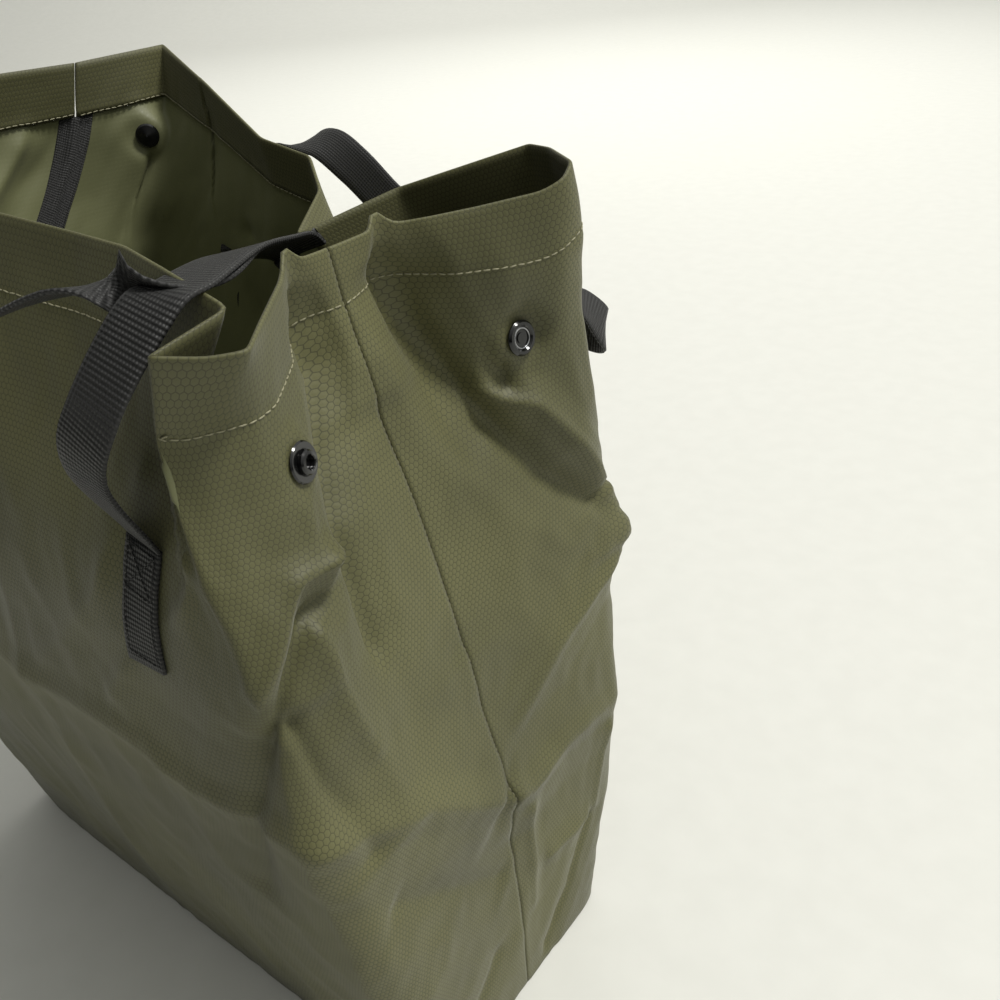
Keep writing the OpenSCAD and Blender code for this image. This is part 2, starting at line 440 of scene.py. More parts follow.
def tube(u, w):
    """The smooth bag, for arrays of u and w; returns x, y, z."""
    level = w / CLOTH_H
    run = np.abs(u)
    cy = np.clip(np.minimum(run, HALF_ROUND - run) / GUSSET, 0, 1)
    cx = np.clip(1 - 2 * (run - GUSSET) / FACE, -1, 1)
    shrink = (np.abs(cx) ** SQUARENESS + cy ** SQUARENESS) ** (-1 / SQUARENESS)
    half_l = BASE_HALF.x - END_LEAN * level ** 2 + 5 * np.sin(math.pi * level)
    half_w = BASE_HALF.y + (RIM_HALF - BASE_HALF.y) * level + SWELL * np.sin(math.pi * level)
    along = cx * shrink
    side = cy * shrink
    dent = np.where(cx > 0, RIGHT_DENT, -LEFT_DENT) * np.abs(along) ** 8
    dent = dent * np.cos(math.pi / 2 * side) ** 2 * level ** 2
    lean = SKEW * np.clip((level - SKEW_FROM) / (1 - SKEW_FROM), 0, 1) ** 2 * (1 - along) / 2
    x = half_l * along - dent
    y = half_w * side * np.sign(u) + lean
    z = FOOT + level * (RIM_H - RIM_RISE * along - FOOT)
    return np.stack([x, y, z], -1)


# %% [markdown]
# ## The slumped rim
# The open rim doesn't stay a rectangle. The right gusset is pinched beside its
# seam, the front face bows inwards behind its corner and the back face folds
# in once. Each line below is one place on the rim or on the hem's stitch line:
# its fabric distance u, and where it lies in space.

# %% Rim and hem lines
RIM_LINE = [
    (-636, -180, 97, 489), (-560, -186, 22, 491), (-490, -182, -66, 491), (-410, -100, -88, 477),
    (-322, 0, -73, 462), (-262, 60, -66, 456), (-228, 94, -67, 455), (-198, 123, -73, 453),
    (-166, 154, -79, 450), (-156, 165, -78, 446), (-121, 163, -112, 440),
    (-106, 177, -98, 437), (-94, 186, -87, 437), (-62, 163, -56, 440),
    (-30, 143, -31, 441), (-25, 139, -26, 451), (-21, 140, -22, 442),
    (0, 138, -4, 441), (18, 139, 16, 441), (26, 139, 23, 441), (31, 135, 28, 451),
    (34, 139, 30, 442), (40, 142, 36, 441),
    (76, 166, 61, 444), (101, 185, 80, 447), (110, 191, 89, 451), (120, 189, 99, 456),
    (152, 163, 119, 456), (171, 146, 126, 455), (245, 86, 94, 437), (303, 60, 48, 424),
    (345, 46, 80, 436), (372, 22, 98, 447), (412, -20, 102, 453), (500, -100, 133, 474),
    (580, -172, 160, 491), (636, -180, 97, 489)]
HEM_W = 441.0
HEM_LINE = [
    (-636, -186, 92, 460), (-560, -192, 20, 461), (-490, -188, -68, 461), (-410, -100, -92, 447),
    (-322, 0, -82, 432), (-262, 60, -76, 427), (-228, 92, -77, 425), (-198, 118, -82, 423),
    (-166, 146, -88, 419), (-156, 154, -88, 414), (-121, 152, -110, 407),
    (-106, 160, -101, 405), (-80, 173, -77, 405), (-66, 171, -65, 406), (-40, 150, -38, 410),
    (-20, 136, -16, 416), (0, 139, -1, 417), (14, 140, 12, 418), (26, 140, 24, 419),
    (36, 139, 33, 417), (56, 164, 49, 417), (76, 182, 63, 418), (94, 190, 78, 418),
    (104, 195, 87, 421), (118, 193, 103, 427), (152, 168, 121, 430), (171, 148, 127, 428),
    (245, 92, 104, 413), (303, 70, 66, 402), (345, 50, 86, 411), (372, 22, 101, 421),
    (412, -20, 106, 428), (500, -103, 136, 446), (580, -178, 158, 462), (636, -186, 92, 460)]


def along_line(line, u, soften):
    """The line's x, y, z at each u, with its corners rounded over a few mm."""
    table = np.array(line, float)
    fine = np.arange(-HALF_ROUND, HALF_ROUND, 1.0)
    kernel = np.exp(-0.5 * (np.arange(-30, 31) / soften) ** 2)
    kernel /= kernel.sum()
    out = []
    for k in (1, 2, 3):
        row = np.interp(fine, table[:, 0], table[:, k])
        row = np.convolve(np.concatenate([row[-30:], row, row[:30]]), kernel, "valid")
        out.append(np.interp(u, fine, row))
    return np.stack(out, -1)


SLUMP_FROM = 300.0
RIM_SOFTNESS, HEM_SOFTNESS = 1.4, 2.5


def slumped(u, w):
    """The tube with its top drawn to the hem line and the rim line."""
    place = tube(u, w)
    row = u[0]
    top = np.full_like(row, CLOTH_H)
    hem = np.full_like(row, HEM_W)
    rim_shift = along_line(RIM_LINE, row, RIM_SOFTNESS) - tube(row, top)
    hem_shift = along_line(HEM_LINE, row, HEM_SOFTNESS) - tube(row, hem)
    upper = np.clip((w - HEM_W) / (CLOTH_H - HEM_W), 0, 1)[..., None]
    lower = smooth((w - SLUMP_FROM) / (HEM_W - SLUMP_FROM))[..., None] ** 1.3
    shift = np.where(w[..., None] > HEM_W, hem_shift * (1 - upper) + rim_shift * upper,
                     hem_shift * lower)
    return place + shift


# %% [markdown]
# ## Folds and creases
# Each fold is a line on the fabric with a height (out of the bag is positive)
# and a half width. The pinches at the rim run down as valleys, the corners
# throw ridges across the gusset, and the bag still shows the sharp line where
# it lay folded in its wrapping.

# %% Folds
FOLDS = [
    # name, [(u, w), ...], height at start, height at end, half width
    ("right pinch valley", [(27, 458), (33, 423), (39, 404), (52, 365), (70, 329), (101, 300),
                            (115, 283)], -16, -9, 26),
    ("ridge under the socket", [(46, 384), (76, 370), (93, 338), (112, 302)], 7, 7, 16),
    ("dimple beside the socket", [(88, 424), (70, 402), (66, 393), (66, 378)], -3, -6, 10),
    ("right corner", [(118, 400), (118, 330), (118, 262), (118, 160), (118, 60)], 3, 6, 26),
    ("right vertex", [(113, 300), (118, 281), (117, 262)], 9, 9, 34),
    ("ridge from the vertex", [(117, 281), (111, 258), (87, 248), (55, 231), (35, 214),
                               (12, 200)], 7, 3, 22),
    ("left pinch valley", [(-29, 458), (-23, 424), (-34, 395), (-45, 366), (-49, 330),
                           (-50, 296)], -15, -9, 17),
    ("stud flap", [(-62, 430), (-70, 380), (-62, 345)], 3, 5, 16),
    ("left triangle", [(-57, 350), (-84, 350), (-104, 324), (-128, 292)], -10, -8, 18),
    ("left triangle ridge", [(-56, 366), (-84, 370), (-100, 346), (-120, 318)], 7, 5, 12),
    ("left triangle post", [(-82, 346), (-78, 300), (-70, 262)], 6, 3, 12),
    ("left recess", [(-104, 312), (-100, 270), (-86, 214)], -9, -5, 26),
    ("left corner", [(-118, 420), (-118, 330), (-118, 262), (-118, 160), (-118, 90)], 1, 3, 26),
    ("pressed crease, left", [(-118, 246), (-97, 238), (-56, 217), (-30, 192), (-4, 172)], 10, 10, 44),
    ("pressed crease, right", [(-4, 172), (14, 164), (28, 164), (52, 168), (80, 165), (112, 160)], 11, 3, 34),
    ("hollow below the crease", [(-90, 176), (-40, 134), (-6, 110)], -5, -4, 30),
    ("seam hollow", [(0, 400), (0, 330), (0, 260)], -7, -3, 60),
    ("lower right ridge", [(96, 150), (90, 120), (84, 84)], 4, 3, 15),
    ("lower right valley", [(84, 90), (58, 40), (25, 6)], -4, -4, 18),
    ("lower seam ridge", [(17, 150), (14, 60)], 4, 2, 12),
    ("lower cross ridge", [(28, 92), (78, 88)], 3, 3, 14),
    ("foot facet, left", [(-20, 60), (-60, 30), (-105, 14)], -3, -3, 20),
    ("front corner ridge", [(-134, 392), (-160, 356), (-215, 300), (-240, 270)], 7, 4, 20),
    ("front drop", [(-128, 300), (-150, 250), (-176, 170)], -11, -5, 30),
    ("front pressed crease", [(-118, 246), (-250, 252), (-400, 238), (-518, 240)], 7, 6, 40),
    ("front middle crease", [(-318, 440), (-318, 250), (-318, 10)], 4, 3, 40),
    ("front handle pull, right", [(-196, 404), (-228, 330), (-300, 260)], 4, 2, 22),
    ("front handle pull, left", [(-446, 400), (-424, 330), (-340, 262)], 4, 2, 26),
    ("back pressed crease", [(118, 160), (250, 172), (400, 166), (518, 170)], 6, 6, 40),
    ("back middle crease", [(318, 400), (318, 200), (318, 10)], 4, 3, 40),
    ("back fold root", [(303, 400), (298, 340), (280, 270)], -10, -3, 30),
    ("back handle pull, right", [(190, 400), (216, 330), (280, 250)], 4, 2, 26),
    ("back handle pull, left", [(446, 400), (424, 330), (350, 255)], 4, 2, 26),
    ("left gusset pressed crease", [(518, 170), (600, 178), (636, 190)], 5, 6, 36),
    ("left gusset pressed crease, front", [(-518, 240), (-580, 212), (-636, 190)], 5, 6, 36),
    ("left gusset valley", [(600, 440), (570, 360), (530, 290)], -8, -4, 24),
    ("left gusset valley, front", [(-600, 440), (-575, 370), (-540, 300)], -7, -4, 24)]


def line_distance(u, w, points):
    """Distance from each (u, w) to the line, and how far along it (0 to 1)."""
    lengths = [math.dist(a, b) for a, b in zip(points, points[1:])]
    total = sum(lengths)
    best = np.full(u.shape, 1e9)
    share = np.zeros(u.shape)
    done = 0.0
    for (a, b), length in zip(zip(points, points[1:]), lengths):
        du, dw = (b[0] - a[0]) / length, (b[1] - a[1]) / length
        t = np.clip((u - a[0]) * du + (w - a[1]) * dw, 0, length)
        far = np.hypot(u - a[0] - t * du, w - a[1] - t * dw)
        closer = far < best
        best = np.where(closer, far, best)
        share = np.where(closer, (done + t) / total, share)
        done += length
    return best, share


def fold_height(u, w):
    height = np.zeros(u.shape)
    for _, points, start, end, half_width in FOLDS:
        far, share = line_distance(u, w, points)
        tent = (0.62 * np.clip(1 - far / half_width, 0, 1)
                + 0.38 * np.clip(1 - far / (0.34 * half_width), 0, 1))
        ends = smooth(np.minimum(share, 1 - share) / 0.12 + 0.35)
        height += tent * (start + (end - start) * share) * ends
    return height


def crumple(u, w, size, seed):
    """Small ridged unevenness of stiff cloth, from smooth noise."""
    flat = [noise.noise(Vector((a / size, b / size * 0.7, seed)))
            for a, b in zip(u.ravel(), w.ravel())]
    return 0.5 - np.abs(np.array(flat).reshape(u.shape)) * 2

# %% [markdown]
# ## The whole grid
# The cloth is laid out as one grid round the bag. Its height along the outward
# direction gets the folds, the crumple and the shallow groove of each seam,
# and it is pressed flat where a snap is riveted through it.

# %% Cloth grid
COLUMNS = 480
ROWS = 176
SEAM_GROOVE, SEAM_GROOVE_HALF = 0.5, 3.5
HEM_GROOVE, HEM_GROOVE_HALF = 0.5, 1.6
LEG_COLUMNS = (-446, -190, 190, 446)
LEG_CALM = 0.9
CRUMPLE, CRUMPLE_SIZE = 1.6, 46.0
FINE_CRUMPLE, FINE_CRUMPLE_SIZE = 0.5, 17.0
edge_u = np.linspace(-HALF_ROUND, HALF_ROUND, COLUMNS + 1)
edge_w = np.linspace(0, CLOTH_H, ROWS)
grid_u, grid_w = np.meshgrid(edge_u, edge_w)


def outward(points):
    """Unit normals of a grid that closes on itself from side to side."""
    wide = np.concatenate([points[:, -2:-1], points, points[:, 1:2]], 1)
    du = wide[:, 2:] - wide[:, :-2]
    dw = np.gradient(points, axis=0)
    n = np.cross(du, dw)
    return n / np.linalg.norm(n, axis=-1, keepdims=True)


def soften(points, times, much=0.5):
    for _ in range(times):
        wide = np.concatenate([points[:, -2:-1], points, points[:, 1:2]], 1)
        sides = (wide[:, 2:] + wide[:, :-2]) / 2
        inner = points.copy()
        inner[1:-1] = (points[2:] + points[:-2]) / 2
        points = points * (1 - much) + (sides + inner) * much / 2
    return points


cloth = slumped(grid_u, grid_w)
cloth = soften(cloth, 1)
rise = fold_height(grid_u, grid_w)
under_leg = np.zeros(grid_u.shape)
for middle in LEG_COLUMNS:
    beside = smooth((34 - np.abs(grid_u - middle)) / 20)
    level = smooth((grid_w - 285) / 30) * smooth((395 - grid_w) / 25)
    under_leg = np.maximum(under_leg, beside * level)
rise *= 1 - LEG_CALM * under_leg
calm_ends = smooth(grid_w / 60) * smooth((CLOTH_H - grid_w) / 60)
rise += CRUMPLE * crumple(grid_u, grid_w, CRUMPLE_SIZE, 3.7) * calm_ends
calm_top = smooth((CLOTH_H - 2 - grid_w) / 40)
rise += FINE_CRUMPLE * crumple(grid_u, grid_w, FINE_CRUMPLE_SIZE, 8.1) * calm_top
seam_far = np.minimum(np.abs(grid_u), HALF_ROUND - np.abs(grid_u))
rise -= SEAM_GROOVE * np.clip(1 - seam_far / SEAM_GROOVE_HALF, 0, 1)
rise -= HEM_GROOVE * np.exp(-((grid_w - HEM_W - 1.0) / HEM_GROOVE_HALF) ** 2)
cloth = cloth + outward(cloth) * rise[..., None]
cloth = soften(cloth, 1, 0.3)
print("cloth grid", cloth.shape)
print("from", cloth.reshape(-1, 3).min(0), "to", cloth.reshape(-1, 3).max(0))

# %% [markdown]
# ## Snap seats
# A riveted snap holds the cloth flat. The cloth near each snap first drifts as
# a whole towards the snap's plane, and the small disc under the ring is then
# pressed flat just behind it.

# %% Snap seats
SEAT_FLAT, SEAT_REACH, SEAT_DRIFT = 9.0, 17.0, 70.0
SEAT_BEHIND = 0.45
SEAT_DEPTH = 40


def snap_plane(ring):
    """Middle and outward direction of a ring-shaped node, in mm."""
    points = np.array([tuple(v.co) for v in nodes[ring].data.vertices]) / MM
    middle = (points.min(0) + points.max(0)) / 2
    spread = np.linalg.svd(points - points.mean(0), full_matrices=False)[2][2]
    out = middle * np.array([1, 1, 0])
    spread = spread if np.dot(spread, out) > 0 else -spread
    reach = (points @ spread).min()
    return middle + spread * (reach - middle @ spread), spread


for ring in ("right_socket", "right_stud", "left_socket", "left_stud"):
    seat, out = snap_plane(ring)
    offset = cloth - seat
    depth = offset @ out
    across = np.linalg.norm(offset - depth[..., None] * out, axis=-1)
    near = np.abs(depth) < SEAT_DEPTH
    centre = np.unravel_index(np.argmin(np.where(near, across, 1e9)), across.shape)
    drift = depth[centre]
    wide = np.where(near, 1 - smooth(across / SEAT_DRIFT), 0)
    cloth = cloth - (wide * drift)[..., None] * out
    depth = (cloth - seat) @ out
    pull = 1 - smooth((across - SEAT_FLAT) / (SEAT_REACH - SEAT_FLAT))
    pull = np.where(near, pull, 0)
    cloth = cloth - (pull * (depth + SEAT_BEHIND))[..., None] * out
    print(ring, "moved the cloth by", round(float((pull * np.abs(depth)).max()), 1), "mm")

# %% [markdown]
# ## From grid to panels
# Each panel is the grid from seam to seam. Past the rim its rows roll over and
# run down inside as the turned-in hem, so the face that shows inside the hem
# is the cloth's outer face, as on the real bag. Solidify gives the thickness
# and puts the coated material on the inner face.

# %% Panels
SHEET_T = 0.7
HEM_ROLL = 0.95
SEAM_GAP = 0.18
normals = outward(cloth)
hem_rows = int(round((CLOTH_H - HEM_W) / (edge_w[1] - edge_w[0])))


def hem_band(columns):
    """Rows that roll over the rim and down inside, with their fabric height."""
    top = cloth[-1, columns]
    out = normals[-1, columns]
    up = top - cloth[-2, columns]
    up /= np.linalg.norm(up, axis=-1, keepdims=True)
    rows, heights = [], []
    for angle in (40, 90, 140):
        a = math.radians(angle)
        rows.append(top - out * HEM_ROLL * (1 - math.cos(a)) + up * HEM_ROLL * math.sin(a))
        heights.append(CLOTH_H + HEM_ROLL * a)
    for k in range(1, hem_rows + 1):
        rows.append(cloth[-1 - k, columns] - normals[-1 - k, columns] * HEM_ROLL * 2)
        heights.append(CLOTH_H + (CLOTH_H - edge_w[-1 - k]) + 3)
    return np.array(rows), heights


def add_uv(thing, uv_of_vertex):
    layer = thing.data.uv_layers.new(name="fabric")
    corner = np.empty(len(thing.data.loops), int)
    thing.data.loops.foreach_get("vertex_index", corner)
    layer.data.foreach_set("uv", np.asarray(uv_of_vertex)[corner].astype(np.float32).ravel())


def grid_piece(name, points, uv, material, close=False):
    rows, columns = points.shape[:2]
    index = np.arange(rows * columns).reshape(rows, columns)
    if close:
        index = np.concatenate([index, index[:, :1]], 1)
    quads = np.stack([index[:-1, :-1], index[:-1, 1:], index[1:, 1:], index[1:, :-1]], -1)
    thing = plain_mesh(name, points.reshape(-1, 3) * MM, quads.reshape(-1, 4).tolist())
    add_uv(thing, uv.reshape(-1, 2) * MM)
    thing.data.materials.append(material)
    thing.data.polygons.foreach_set("use_smooth", [True] * len(thing.data.polygons))
    return thing


def thicken(thing, thickness, offset=-1.0, inner_material=0):
    solid = thing.modifiers.new("thickness", "SOLIDIFY")
    solid.thickness = thickness * MM
    solid.offset = offset
    solid.material_offset = inner_material
    solid.use_even_offset = False
    return thing


def panel(name, first, last):
    columns = np.arange(first, last + 1)
    band, heights = hem_band(columns)
    points = np.concatenate([cloth[:, columns], band])
    uv = np.stack(np.meshgrid(edge_u[columns], np.concatenate([edge_w, heights])), -1)
    gap_share = SEAM_GAP / (edge_u[1] - edge_u[0])
    points[:, 0] += (points[:, 1] - points[:, 0]) * gap_share
    points[:, -1] += (points[:, -2] - points[:, -1]) * gap_share
    thing = grid_piece(name, points, uv, cloth_outside)
    thing.data.materials.append(cloth_inside)
    thicken(thing, SHEET_T, inner_material=1)
    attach(thing, "bag")
    return thing


middle_column = COLUMNS // 2
front_cloth = panel("front_cloth", 0, middle_column)
back_cloth = panel("back_cloth", middle_column, COLUMNS)
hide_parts("front_panel")
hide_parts("back_panel")
print("panel faces:", len(front_cloth.data.polygons))

# %% [markdown]
# ## Base panel
# The flat bottom follows the cloth's foot line, in rings that shrink to the
# middle, so its edge meets the side panels all round.

# %% Base
BASE_LIFT = 0.9
RING_SHARES = (0.12, 0.4, 0.7, 0.9, 0.985, 1.0)
BASE_T = 0.8
INNER_HOLE = 0.06
foot = cloth[0, :-1].copy()
foot[:, 2] = BASE_LIFT
base_points = np.array([foot * np.array([share, share, 1]) for share in RING_SHARES])
base_cloth = grid_piece("base_cloth", base_points, base_points[..., :2], cloth_outside, close=True)
work = bmesh.new()
work.from_mesh(base_cloth.data)
inner_edges = [edge for edge in work.edges if edge.is_boundary
               and all(max(abs(v.co.x), abs(v.co.y)) < INNER_HOLE for v in edge.verts)]
bmesh.ops.holes_fill(work, edges=inner_edges, sides=0)
bmesh.ops.recalc_face_normals(work, faces=work.faces)
if work.faces[0].normal.z > 0:
    bmesh.ops.reverse_faces(work, faces=work.faces)
work.to_mesh(base_cloth.data)
work.free()
base_cloth.data.materials.append(cloth_inside)
thicken(base_cloth, BASE_T, inner_material=1)
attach(base_cloth, "bag")
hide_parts("base_panel")

# %% [markdown]
# ## Bound seams
# Inside, a woven tape covers the raw edges of each gusset seam.

# %% Seam tapes
TAPE_HALF, TAPE_T = 11.0, 0.5
SEAM_RIDGE = 0.9


def tape(name, node, middle_u):
    across = np.linspace(-TAPE_HALF, TAPE_HALF, 9)
    rows = np.arange(1, ROWS - hem_rows)
    points, uv = [], []
    for r in rows:
        line = []
        for a in across:
            u = middle_u + a
            if u > HALF_ROUND:
                u -= 2 * HALF_ROUND
            p = np.array([np.interp(u, edge_u, cloth[r, :, k]) for k in range(3)])
            n = np.array([np.interp(u, edge_u, normals[r, :, k]) for k in range(3)])
            lift = SHEET_T + 0.35 + SEAM_RIDGE * math.exp(-(a / 3.0) ** 2)
            line.append(p - n * lift)
        points.append(line)
        uv.append([(a, edge_w[r]) for a in across])
    points = np.array(points)[:, ::-1]
    uv = np.array(uv)[:, ::-1]
    thing = grid_piece(name, points, uv, tape_cloth)
    thicken(thing, TAPE_T)
    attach(thing, "bag")
    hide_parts(node)
    return thing


tape("right_binding", "right_seam_tape", 0.0)
tape("left_binding", "left_seam_tape", HALF_ROUND)

# %% [markdown]
# ## Stitches
# Every stitch is the same short thread, so one Geometry Nodes tree lays them
# along a line: it resamples the line to the stitch pitch and turns each copy
# to the line's direction and to the cloth's outward direction.

# %% Stitches
def thread_bit(name, length, radius):
    """A stitch lying along X, sunk into the cloth at both ends."""
    sides, rings = 6, 7
    points, faces = [], []
    for k in range(rings):
        t = -1 + 2 * k / (rings - 1)
        r = radius * max(0.05, 1 - t ** 4) ** 0.5
        for j in range(sides):
            a = 2 * math.pi * j / sides
            points.append((t * length / 2, r * math.cos(a), r * math.sin(a) - 0.5 * radius * t * t))
    for k in range(rings - 1):
        for j in range(sides):
            m = (j + 1) % sides
            faces.append((k * sides + j, k * sides + m, (k + 1) * sides + m, (k + 1) * sides + j))
    faces += [tuple(range(sides))[::-1], tuple(range((rings - 1) * sides, rings * sides))]
    made = plain_mesh(name, points, faces)
    made.hide_render = True
    made.hide_viewport = True
    return made


def stitch_tree():
    tree = bpy.data.node_groups.new("stitches", "GeometryNodeTree")
    face = tree.interface
    face.new_socket("Geometry", in_out="INPUT", socket_type="NodeSocketGeometry")
    face.new_socket("Stitch", in_out="INPUT", socket_type="NodeSocketObject")
    face.new_socket("Pitch", in_out="INPUT", socket_type="NodeSocketFloat")
    face.new_socket("Wander", in_out="INPUT", socket_type="NodeSocketFloat")
    face.new_socket("Seed", in_out="INPUT", socket_type="NodeSocketInt")
    face.new_socket("Material", in_out="INPUT", socket_type="NodeSocketMaterial")
    face.new_socket("Geometry", in_out="OUTPUT", socket_type="NodeSocketGeometry")
    add = tree.nodes.new
    link = tree.links.new
    given, made = add("NodeGroupInput"), add("NodeGroupOutput")
    curve = add("GeometryNodeMeshToCurve")
    even = add("GeometryNodeResampleCurve")
    even.mode = "LENGTH"
    copy = add("GeometryNodeInstanceOnPoints")
    shape = add("GeometryNodeObjectInfo")
    tangent = add("GeometryNodeInputTangent")
    out = add("GeometryNodeInputNamedAttribute")
    out.data_type = "FLOAT_VECTOR"
    out.inputs["Name"].default_value = "out"
    ahead = add("FunctionNodeAlignRotationToVector")
    ahead.axis = "X"
    level = add("FunctionNodeAlignRotationToVector")
    level.axis, level.pivot_axis = "Z", "X"
    jitter = add("FunctionNodeRandomValue")
    jitter.data_type = "FLOAT"
    yaw = add("ShaderNodeCombineXYZ")
    turned = add("FunctionNodeRotateRotation")
    turned.rotation_space = "LOCAL"
    low = add("ShaderNodeMath")
    low.operation = "MULTIPLY"
    low.inputs[1].default_value = -1.0
    solid = add("GeometryNodeRealizeInstances")
    paint = add("GeometryNodeSetMaterial")
    link(given.outputs["Geometry"], curve.inputs[0])
    link(curve.outputs[0], even.inputs["Curve"])
    link(given.outputs["Pitch"], even.inputs["Length"])
    link(even.outputs[0], copy.inputs["Points"])
    link(given.outputs["Stitch"], shape.inputs["Object"])
    link(shape.outputs["Geometry"], copy.inputs["Instance"])
    link(tangent.outputs[0], ahead.inputs["Vector"])
    link(ahead.outputs[0], level.inputs["Rotation"])
    link(out.outputs["Attribute"], level.inputs["Vector"])
    link(given.outputs["Wander"], low.inputs[0])
    link(low.outputs[0], jitter.inputs[2])
    link(given.outputs["Wander"], jitter.inputs[3])
    link(given.outputs["Seed"], jitter.inputs["Seed"])
    link(jitter.outputs[1], yaw.inputs["Z"])
    link(level.outputs[0], turned.inputs["Rotation"])
    link(yaw.outputs[0], turned.inputs["Rotate By"])
    link(turned.outputs[0], copy.inputs["Rotation"])
    link(copy.outputs[0], solid.inputs[0])
    link(solid.outputs[0], paint.inputs["Geometry"])
    link(given.outputs["Material"], paint.inputs["Material"])
    link(paint.outputs[0], made.inputs[0])
    return tree


stitches = stitch_tree()
hem_stitch = thread_bit("hem_stitch", 3.4 * MM, 0.36 * MM)
fine_stitch = thread_bit("fine_stitch", 2.6 * MM, 0.30 * MM)


def sew(name, points, outs, stitch, pitch, material, wander=0.10, seed=1):
    """Stitches along a line of points (mm) on the cloth, as one plain mesh."""
    line = bpy.data.meshes.new(name + "_line")
    line.from_pydata([tuple(p) for p in np.asarray(points) * MM],
                     [(k, k + 1) for k in range(len(points) - 1)], [])
    line.attributes.new("out", "FLOAT_VECTOR", "POINT").data.foreach_set(
        "vector", np.asarray(outs, np.float32).ravel())
    path = bpy.data.objects.new(name + "_line", line)
    scene.collection.objects.link(path)
    work = path.modifiers.new("stitches", "NODES")
    work.node_group = stitches
    wanted = {"Stitch": stitch, "Pitch": pitch * MM, "Wander": wander, "Seed": seed,
              "Material": material}
    for item in stitches.interface.items_tree:
        if item.in_out == "INPUT" and item.name in wanted:
            work[item.identifier] = wanted[item.name]
    bpy.context.view_layer.update()
    mesh = bpy.data.meshes.new_from_object(
        path.evaluated_get(bpy.context.evaluated_depsgraph_get()))
    mesh.name = name
    made = bpy.data.objects.new(name, mesh)
    scene.collection.objects.link(made)
    bpy.data.objects.remove(path)
    made.data.polygons.foreach_set("use_smooth", [True] * len(made.data.polygons))
    return made


def on_grid(u, w, lift):
    """Place and outward direction on the finished cloth at (u, w), in mm."""
    u = (u + HALF_ROUND) % (2 * HALF_ROUND) - HALF_ROUND
    c = (u + HALF_ROUND) / (edge_u[1] - edge_u[0])
    r = np.clip(w / (edge_w[1] - edge_w[0]), 0, ROWS - 1.001)
    c0, r0 = int(c) % COLUMNS, int(r)
    fc, fr = c - int(c), r - r0

    def between(grid):
        lower = grid[r0, c0] * (1 - fc) + grid[r0, c0 + 1] * fc
        upper = grid[r0 + 1, c0] * (1 - fc) + grid[r0 + 1, c0 + 1] * fc
        return lower * (1 - fr) + upper * fr

    out = between(normals)
    return between(cloth) + out / np.linalg.norm(out) * lift, out


def sew_on(name, stations, lift, stitch, pitch, material, wander=0.10, seed=1):
    placed = [on_grid(u, w, lift) for u, w in stations]
    made = sew(name, [p for p, n in placed], [n for p, n in placed], stitch, pitch,
               material, wander, seed)
    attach(made, "bag")
    return made


HEM_STITCH_W = HEM_W + 0.6
for name, first, last in (("front", -HALF_ROUND + 3, -3), ("back", 3, HALF_ROUND - 3)):
    around = [(u, HEM_STITCH_W + 0.5 * math.sin(u / 37.0)) for u in np.arange(first, last, 1.6)]
    sew_on(name + "_hem_stitches", around, 0.22, hem_stitch, 4.0, thread, 0.12, 3)
    sew_on(name + "_hem_stitches_inside", around, -HEM_ROLL * 2 - SHEET_T - 0.25, hem_stitch, 4.0,
           thread, 0.12, 4)
seam_thread = thread.copy()
seam_thread.name = "seam_thread"
for name, u in (("right", 0.0), ("left", HALF_ROUND)):
    up = [(u, w) for w in np.arange(4, CLOTH_H - 1, 2.0)]
    sew_on(name + "_seam_stitches", up, -0.35, fine_stitch, 3.2, seam_thread, 0.2, 5)
print("stitches sewn")

# %% [markdown]
# ## Webbing
# Each handle is one flat strap. A route gives the strap's middle and the way
# its width points, and the webbing's section is swept along a smooth curve
# through those places.

# %% Webbing straps
WEB_W, WEB_T = 25.0, 1.8
LEG_X, LEG_TOP, LEG_L = 120.0, 365.0, 55.0
LEG_OFF = 0.35
BOX_HALF, BOX_H = 10, 19
SECTION = [(-0.5, 0.0), (-0.47, 0.5), (-0.3, 0.46), (0.0, 0.44), (0.3, 0.46), (0.47, 0.5),
           (0.5, 0.0), (0.47, -0.5), (0.3, -0.46), (0.0, -0.44), (-0.3, -0.46), (-0.47, -0.5)]


def spline(rows, steps):
    """Catmull-Rom through the rows, with an even number of steps between them."""
    rows = np.array(rows, float)
    before = np.concatenate([rows[:1], rows[:-1]])
    after = np.concatenate([rows[1:], rows[-1:]])
    later = np.concatenate([rows[2:], rows[-1:], rows[-1:]])
    out = []
    for a, b, c, d in zip(before[:-1], rows[:-1], after[:-1], later[:-1]):
        for k in range(steps):
            t = k / steps
            out.append(0.5 * (2 * b + (c - a) * t + (2 * a - 5 * b + 4 * c - d) * t * t
                              + (3 * b - a - 3 * c + d) * t ** 3))
    out.append(rows[-1])
    return np.array(out)


